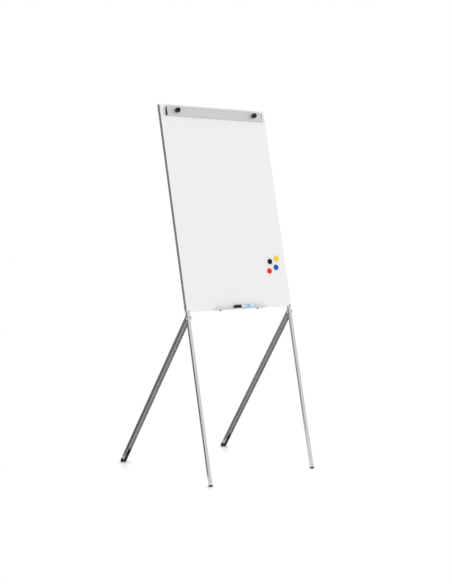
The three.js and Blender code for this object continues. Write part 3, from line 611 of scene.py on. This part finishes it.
def make_insert(side):
    """A brass bush, knurled outside."""
    node = f"knob_insert_{side}"
    size = board_size(node)
    outer, bore = size.x / 2, M6 + GAP
    knurl = flutes(24, 0.35 * MM)
    profile = [(0, bore), (0, outer - 0.4 * MM), (0.4 * MM, outer - 0.1 * MM)]
    profile += with_outline([(0.8 * MM, outer), (size.y - 0.8 * MM, outer)], knurl)
    profile += [(size.y, outer - 0.4 * MM), (size.y, bore), (0, bore)]
    turned(node, end_frame(node, DEPTH, 1), profile, sides=96)


def make_hinge_bolt(side):
    """A button-head bolt with a hexagon socket, its thread under the cap nut."""
    node = f"hinge_bolt_{side}"
    size = board_size(node)
    head, head_height = size.z / 2, 3 * MM
    socket, socket_depth = 2.0 * MM, 1.6 * MM
    face = 0.52 * head
    sweep = 0.86 * TURN / 4
    steps = 7
    profile = [
        (socket_depth + 0.5 * MM, 0),
        (socket_depth, socket, hexagon),
        (0.15 * MM, socket, hexagon),
        (0, socket + 0.35 * MM),
        (0, face),
    ]
    for i in range(1, steps + 1):
        turn = (i / steps) * sweep
        share = math.sin(turn) / math.sin(sweep)
        profile.append((head_height * (1 - math.cos(turn)), face + (head - face) * share))
    profile += [(head_height, head), (head_height, M6)]
    profile += thread(size.x - 9 * MM, size.x - 0.8 * MM, M6)
    profile += [(size.x, M6 - 0.8 * MM), (size.x, 0)]
    turned(node, end_frame(node, ACROSS, SIDES[side]), profile, sides=48)


def make_hinge_nut(side):
    """A domed cap nut: a washer face, a chamfered hexagon and a dome, with a blind bore."""
    node = f"hinge_nut_{side}"
    size = board_size(node)
    height, across = size.x, size.z / 2
    washer = across * math.cos(TURN / 12)
    flats = washer - 0.05 * MM
    bore, bore_depth = M6 + GAP, 6.4 * MM
    dome = 3.9 * MM
    steps = 9
    profile = [(bore_depth, 0), (bore_depth, bore), (0, bore), (0, washer), (0.5 * MM, washer)]
    profile += [(0.6 * MM, flats, hexagon), (3.6 * MM, flats, hexagon), (4.4 * MM, dome)]
    base = height - dome
    for i in range(steps):
        turn = (i / steps) * TURN / 4
        profile.append((base + dome * math.sin(turn), dome * math.cos(turn)))
    profile.append((height, 0))
    turned(node, end_frame(node, ACROSS, SIDES[side]), profile, sides=72)


def make_spacer(side, face):
    """A nylon washer with softened edges."""
    node = f"hinge_spacer_{side}_{face}"
    size = board_size(node)
    outer, bore, thickness, ease = size.z / 2, M6 + GAP, size.x, 0.3 * MM
    profile = [(0, bore)] + corner(0, outer, ease, -1, steps=3)
    profile += corner(thickness, outer, ease, 1, steps=3) + [(thickness, bore), (0, bore)]
    turned(node, end_frame(node, ACROSS, -1), profile, sides=48)


def pan_head(head, height, recess, recess_depth):
    """Points of a domed screw head with a cross recess, from its middle to its underside."""
    profile = [
        (recess_depth, 0),
        (recess_depth - 0.1 * MM, 0.55 * recess, cross),
        (0.1 * height, recess, cross),
        (0.05 * height, 1.25 * recess),
    ]
    dome = 0.9 * height
    face = 0.6 * head
    steps = 6
    for i in range(1, steps + 1):
        turn = (i / steps) * TURN / 4
        profile.append((dome * (1 - math.cos(turn)), face + (head - face) * math.sin(turn)))
    return profile + [(height, head)]


def make_leg_screw(side, number):
    """A black pan-head screw in the side of a rail."""
    node = f"leg_screw_{side}_{number}"
    size = board_size(node)
    head, height = size.z / 2, 2 * MM
    profile = pan_head(head, height, 0.45 * head, 1.3 * MM) + [(height, M4)]
    profile += thread(height + 0.5 * MM, size.x - 0.4 * MM, M4, M4_PITCH, M4_THREAD_DEPTH)
    profile += [(size.x, 0)]
    turned(node, end_frame(node, ACROSS, SIDES[side]), profile, sides=48)


def make_tray_screw(side):
    """A black thumb screw under the tray, with a fluted head."""
    node = f"tray_screw_{side}"
    size = board_size(node)
    head, height = size.x / 2, 3.8 * MM
    grip = flutes(18, 0.5 * MM)
    profile = [(0, 0), (0, 0.7 * head)]
    profile += with_outline(corner(0, head, 0.6 * MM, -1, steps=4), grip)
    profile += with_outline([(height - 0.4 * MM, head)], grip)
    profile += [(height, head - 0.5 * MM), (height, M4)]
    profile += thread(height + 1.0 * MM, size.z - 0.4 * MM, M4, M4_PITCH, M4_THREAD_DEPTH)
    profile += [(size.z, 0)]
    turned(node, end_frame(node, UP, -1), profile, sides=72)


def make_marker_barrel():
    """The barrel, stepped down to its neck and the nib's holder, and open at its tail."""
    node = "marker_barrel"
    size = board_size(node)
    outer, length = size.z / 2, size.x
    holder, holder_length, nib_bore, nib_depth = 4 * MM, 10 * MM, 2.7 * MM, 9 * MM
    neck, shoulder = 7 * MM, 25 * MM
    inside = shoulder + 4 * MM
    profile = [(nib_depth, 0), (nib_depth, nib_bore), (0, nib_bore)]
    profile += corner(0, holder, 0.6 * MM, -1)
    profile += [(holder_length - 1 * MM, holder + 0.4 * MM), (holder_length, neck - 0.6 * MM)]
    profile += [(holder_length + 0.8 * MM, neck), (shoulder - 3 * MM, neck)]
    profile += [(shoulder - 2.6 * MM, neck + 0.2 * MM), (shoulder - 2 * MM, neck), (shoulder, neck)]
    profile += corner(shoulder, outer, 0.9 * MM, -1)
    profile += [(length - 0.3 * MM, outer), (length, outer - 0.3 * MM), (length, neck)]
    profile += [(inside, neck), (inside, 0)]
    turned(node, end_frame(node, ACROSS, -1), profile, sides=72)


def make_marker_nib():
    """A felt rod with a round tip."""
    node = "marker_nib"
    size = board_size(node)
    radius = size.z / 2
    turns = [TURN / 4 * i / 8 for i in range(9)]
    profile = [(radius * (1 - math.cos(turn)), radius * math.sin(turn)) for turn in turns]
    profile += [(size.x, radius), (size.x, 0)]
    turned(node, end_frame(node, ACROSS, -1), profile, sides=40)


def make_marker_plug():
    """The tail plug: a rounded end, and a stub inside the barrel."""
    node = "marker_plug"
    size = board_size(node)
    radius, stub, rim = size.z / 2, 6.7 * MM, 3.5 * MM
    profile = [(0, 0)] + corner(0, radius, 1.6 * MM, -1)
    profile += [(rim - 0.2 * MM, radius), (rim, radius - 0.2 * MM), (rim, stub)]
    profile += [(size.x - 0.5 * MM, stub), (size.x, stub - 0.5 * MM), (size.x, 0)]
    turned(node, end_frame(node, ACROSS, 1), profile, sides=64)


def make_marker_cap():
    """The cap: a soft closed end, a fluted grip and a collar at its open end."""
    node = "marker_cap"
    size = board_size(node)
    collar, bore, wall = size.z / 2, 7.3 * MM, 4 * MM
    body = collar - 0.25 * MM
    grip = flutes(30, 0.5 * MM)
    profile = [(0, 0), (0.15 * MM, 0.4 * body)]
    profile += corner(0.3 * MM, body, 3.4 * MM, -1, steps=8)
    profile += [(6 * MM, body)] + with_outline([(6.4 * MM, body), (18 * MM, body)], grip)
    profile += [(18.4 * MM, body), (size.x - 5 * MM, body), (size.x - 4.6 * MM, collar)]
    profile += corner(size.x, collar, 0.6 * MM, 1)
    profile += [(size.x, bore), (wall, bore), (wall, 0)]
    turned(node, end_frame(node, ACROSS, -1), profile, sides=120)


def make_turned_pieces():
    """The round pieces listed below, each in place of its CAD node."""
    make_marker_barrel()
    make_marker_nib()
    make_marker_plug()
    make_marker_cap()
    for colour in MAGNETS:
        make_magnet(colour)
    for side in SIDES:
        make_knob(side)
        make_stud(side)
        make_insert(side)
        make_hinge_bolt(side)
        make_hinge_nut(side)
        make_tray_screw(side)
        for face in ("outer", "inner"):
            make_spacer(side, face)
        for number in (1, 2):
            make_leg_screw(side, number)


# ------------------------------------------------------------------ eased pieces

# How far each one's edges are rounded, in millimetres. A name with no side means both sides.
EASE = {
    "side_rail": 0.5,
    "top_rail": 0.5,
    "bottom_rail": 0.5,
    "face_sheet": 0.2,
    "pen_tray": 0.35,
    "clamp_bar": 0.3,
    "leg_collar": 0.7,
    "top_cap": 0.7,
    "front_leg": 0.15,
    "rear_leg": 0.35,
    "front_foot": 0.8,
    "rear_foot": 0.8,
    "clamp_end_cap": 0.3,
    "joiner_top": 0.5,
    "joiner_bottom": 0.5,
}


def ease_the_extrusions():
    """The flat-faced pieces named in EASE, each in place of its CAD node."""
    for name, width in EASE.items():
        for node in (name, f"{name}_left", f"{name}_right"):
            if node in NODES:
                eased(node, width * MM)


def dress_the_rest():
    """Gives every CAD node that still shows its own material."""
    for name, node in NODES.items():
        if not node.hide_render:
            node.data.materials.clear()
            node.data.materials.append(look(name))


# ------------------------------------------------------- camera, light and floor

FLOOR_LEFT, FLOOR_RIGHT = -0.46, 1.1
FLOOR_FRONT, FLOOR_BACK = -1.1, 0.5
SHADOW_REACH = 0.05  # how near a foot the floor is darker
SHADOW_LEAN = Vector((0.0, 0.5, 0.87))  # backwards, so that the shadow falls in front of a foot
FLOOR_REACH = 0.2  # how near a foot the camera sees the floor at all

# How bright the surroundings look in the metal, as a share of white.
DARK, BRIGHT, OVERHEAD, LAMP = 0.03, 0.95, 0.7, 0.35
# Directions in degrees, leftwards from straight behind the easel, where dark meets bright.
LEFT_EDGE = (37, 50)
RIGHT_EDGE = (-25, -5)
CEILING = (0.42, 0.7)  # the upward part of a direction, where the light overhead starts and ends
LAMP_DIRECTION = (-0.5, -0.86)  # in X and Y
LAMP_EDGE = (0.6, 0.9)  # how closely a direction follows the lamp's, from its rim to its middle


def make_camera():
    """The camera, where the perspective of the board and the legs puts it."""
    place = Vector((-3.666, -4.654, 1.268))
    heading = math.radians(38.69)
    dip = math.radians(3.51)
    forward = Vector((
        math.sin(heading) * math.cos(dip),
        math.cos(heading) * math.cos(dip),
        -math.sin(dip),
    ))
    data = bpy.data.cameras.new("camera")
    data.sensor_width = 36.0
    data.lens = 70.64
    data.dof.use_dof = False
    data.clip_end = 200.0
    camera = new_object("camera", data)
    camera.location = place
    camera.rotation_euler = forward.to_track_quat("-Z", "Y").to_euler()
    bpy.context.scene.camera = camera


def occlusion(shader, reach):
    """How open a point of the floor is: 1, or less within reach of what stands on it."""
    node = shader.node("ShaderNodeAmbientOcclusion", samples=24)
    node.inputs["Distance"].default_value = reach
    return node


def floor_material():
    """Pale and slightly glossy, darker under a foot, and clear to the camera away from one."""
    s = Shader("floor")
    s.set(Roughness=0.36, IOR=1.5, Emission_Color=grey(255), Emission_Strength=0.3)
    contact = occlusion(s, SHADOW_REACH)
    contact.inputs["Normal"].default_value = SHADOW_LEAN
    grain = s.spread(s.noise(s.position(), 3.0), 0, 1)
    pale = s.blend_colours(grain, grey(252), grey(251))
    lit = s.spread(contact.outputs["AO"], 0, 1, (0.45, 1.0))
    s.colour(s.blend_colours(lit, grey(150), pale))
    near_a_foot = s.spread(occlusion(s, FLOOR_REACH).outputs["AO"], 1, 0, (0.96, 1.0))
    light_path = s.node("ShaderNodeLightPath")
    not_camera = s.spread(light_path.outputs["Is Camera Ray"], 1, 0, (0, 1))
    seen = s.node("ShaderNodeMath", operation="MAXIMUM")
    s.link(near_a_foot, seen.inputs[0])
    s.link(not_camera, seen.inputs[1])
    s.link(seen.outputs[0], s.principled.inputs["Alpha"])
    return s.material


def make_floor():
    """A pale floor, with a soft shadow where a foot stands on it.

    It ends close behind the legs, so that their sides reflect the surroundings, not the floor.
    The camera sees it only near a foot, so that it doesn't hide a folded leg's end below it."""
    corners = [
        (FLOOR_LEFT, FLOOR_FRONT, 0),
        (FLOOR_RIGHT, FLOOR_FRONT, 0),
        (FLOOR_RIGHT, FLOOR_BACK, 0),
        (FLOOR_LEFT, FLOOR_BACK, 0),
    ]
    mesh = bpy.data.meshes.new("floor")
    mesh.from_pydata(corners, [], [(0, 1, 2, 3)])
    mesh.materials.append(floor_material())
    new_object("floor", mesh)


def math_node(tree, operation, *values):
    """The result of a calculation on numbers and sockets."""
    node = tree.nodes.new("ShaderNodeMath")
    node.operation = operation
    for socket, value in zip(node.inputs, values):
        if isinstance(value, bpy.types.NodeSocket):
            tree.links.new(value, socket)
        else:
            socket.default_value = value
    return node.outputs[0]


def ramp(tree, value, span, low, high):
    """Goes from low to high as the value goes through the span."""
    node = tree.nodes.new("ShaderNodeMapRange")
    for socket, number in zip(node.inputs[1:5], (*span, low, high)):
        socket.default_value = number
    tree.links.new(value, node.inputs[0])
    return node.outputs[0]


def reflected_light(tree):
    """How bright the surroundings are in each direction, as the metal reflects them."""
    direction = tree.nodes.new("ShaderNodeSeparateXYZ")
    coordinates = tree.nodes.new("ShaderNodeTexCoord")
    tree.links.new(coordinates.outputs["Generated"], direction.inputs[0])
    x, y, z = direction.outputs
    leftward = math_node(tree, "ARCTAN2", math_node(tree, "MULTIPLY", x, -1), y)
    left = ramp(tree, leftward, [math.radians(angle) for angle in LEFT_EDGE], DARK, BRIGHT)
    right = ramp(tree, leftward, [math.radians(angle) for angle in RIGHT_EDGE], BRIGHT, DARK)
    sides = math_node(tree, "MAXIMUM", left, right)
    dimmed = math_node(tree, "MINIMUM", sides, ramp(tree, z, CEILING, 1, OVERHEAD))
    panels = math_node(tree, "MAXIMUM", dimmed, ramp(tree, z, CEILING, DARK, OVERHEAD))
    lamp_x, lamp_y = LAMP_DIRECTION
    along_x = math_node(tree, "MULTIPLY", x, lamp_x)
    along_y = math_node(tree, "MULTIPLY", y, lamp_y)
    lamp = ramp(tree, math_node(tree, "ADD", along_x, along_y), LAMP_EDGE, 0.0, LAMP)
    return math_node(tree, "ADD", panels, lamp)


def make_world():
    """White surroundings with a broad soft light at the front left. What the metal reflects
    is dark straight behind the easel, and brightens towards the left."""
    world = bpy.data.worlds.new("studio")
    bpy.context.scene.world = world
    world.use_nodes = True
    tree = world.node_tree
    seen = tree.nodes.new("ShaderNodeLightPath").outputs["Is Camera Ray"]
    unseen = math_node(tree, "SUBTRACT", 1.0, seen)
    reflected = math_node(tree, "MULTIPLY", unseen, reflected_light(tree))
    background = tree.nodes["Background"]
    background.inputs["Color"].default_value = (1, 1, 1, 1)
    tree.links.new(math_node(tree, "ADD", seen, reflected), background.inputs["Strength"])


make_camera()
ease_the_extrusions()
make_turned_pieces()
dress_the_rest()
make_floor()
make_world()
bpy.context.scene.view_settings.view_transform = "Standard"
